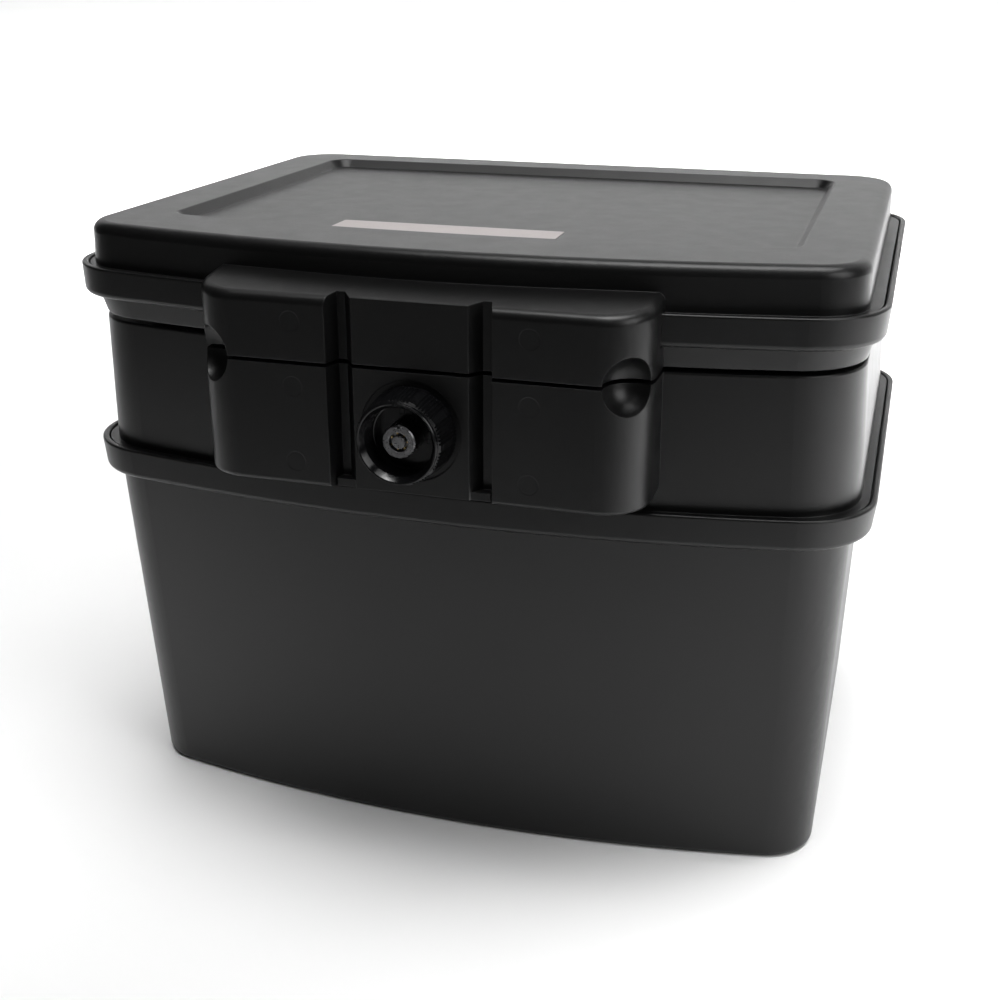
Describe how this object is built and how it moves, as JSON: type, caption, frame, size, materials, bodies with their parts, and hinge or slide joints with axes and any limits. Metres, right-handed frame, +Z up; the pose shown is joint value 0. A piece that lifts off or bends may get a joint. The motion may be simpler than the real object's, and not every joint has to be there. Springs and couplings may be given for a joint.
{
  "type": "fireproof document box",
  "caption": "Deep insulated document chest with a hinged lid, a front latch block with a turning knob, sliding hooks inside it and a tubular key lock in the knob.",
  "frame": {"origin": "on the flat face the box rests on, below the middle of the lid band's rectangle", "axes": "+X to the right as seen from the front, +Y to the back (the hinge side), +Z up; the latch block and knob face -Y"},
  "size_m": [0.4354, 0.3969, 0.3343],
  "materials": {
    "shell_black": "satin, fine moulded grain",
    "liner_charcoal": "satin",
    "insulation_fill": "dry cast fill, matt",
    "seal_rubber": "matt",
    "label_blank": "blank, satin",
    "knob_gloss": "polished",
    "lock_chrome": "polished",
    "lock_brass": "machined",
    "zinc_steel": "zinc plated"
  },
  "bodies": {
    "body": {"outer_tub": "shell_black", "upper_shell": "shell_black", "fill_plugs": "shell_black", "inner_tub": "liner_charcoal", "latch_cover": "liner_charcoal", "body_insulation": "insulation_fill", "knob_housing": "shell_black", "housing_screws": "zinc_steel", "guide_plate": "zinc_steel", "guide_studs": "zinc_steel", "guide_screws": "zinc_steel", "hinge_pin_left": "zinc_steel", "hinge_pin_right": "zinc_steel"},
    "lid": {"lid_cover": "shell_black", "lid_liner": "shell_black", "lid_gasket": "seal_rubber", "lid_insulation": "insulation_fill", "lid_label": "label_blank", "strike_left": "zinc_steel", "strike_right": "zinc_steel", "strike_screws": "zinc_steel"},
    "knob": {"knob": "knob_gloss", "lock_barrel": "lock_chrome", "crank_disc": "zinc_steel", "crank_screws": "zinc_steel"},
    "latch": {"latch_bar": "zinc_steel", "hook_left": "zinc_steel", "hook_right": "zinc_steel", "hook_rivets": "zinc_steel"},
    "key": {"key_plug": "lock_chrome", "key_pins": "lock_brass", "lock_cam": "lock_brass"},
    "bolt": {"lock_bolt": "lock_brass"}
  },
  "joints": [
    {"name": "lid_hinge", "type": "hinge", "parent": "body", "child": "lid", "pos_m": [0, 0.1665, 0.2903], "axis": [-1, 0, 0], "range_deg": [0, 95]},
    {"name": "knob_turn", "type": "hinge", "parent": "body", "child": "knob", "pos_m": [0, -0.2, 0.2532], "axis": [0, 1, 0], "range_deg": [0, 90]},
    {"name": "latch_slide", "type": "slide", "parent": "body", "child": "latch", "axis": [1, 0, 0], "range_m": [0, 0.01203]},
    {"name": "key_turn", "type": "hinge", "parent": "knob", "child": "key", "pos_m": [0, -0.21, 0.2532], "axis": [0, 1, 0], "range_deg": [0, 90]},
    {"name": "lock_bolt_slide", "type": "slide", "parent": "knob", "child": "bolt", "axis": [0, 0, 1], "range_m": [0, 0.00401]}
  ],
  "couplings": [
    {"joint": "latch_slide", "follows": "knob_turn", "m_per_rad": 0.0076527},
    {"joint": "lock_bolt_slide", "follows": "key_turn", "m_per_rad": 0.0025465}
  ]
}
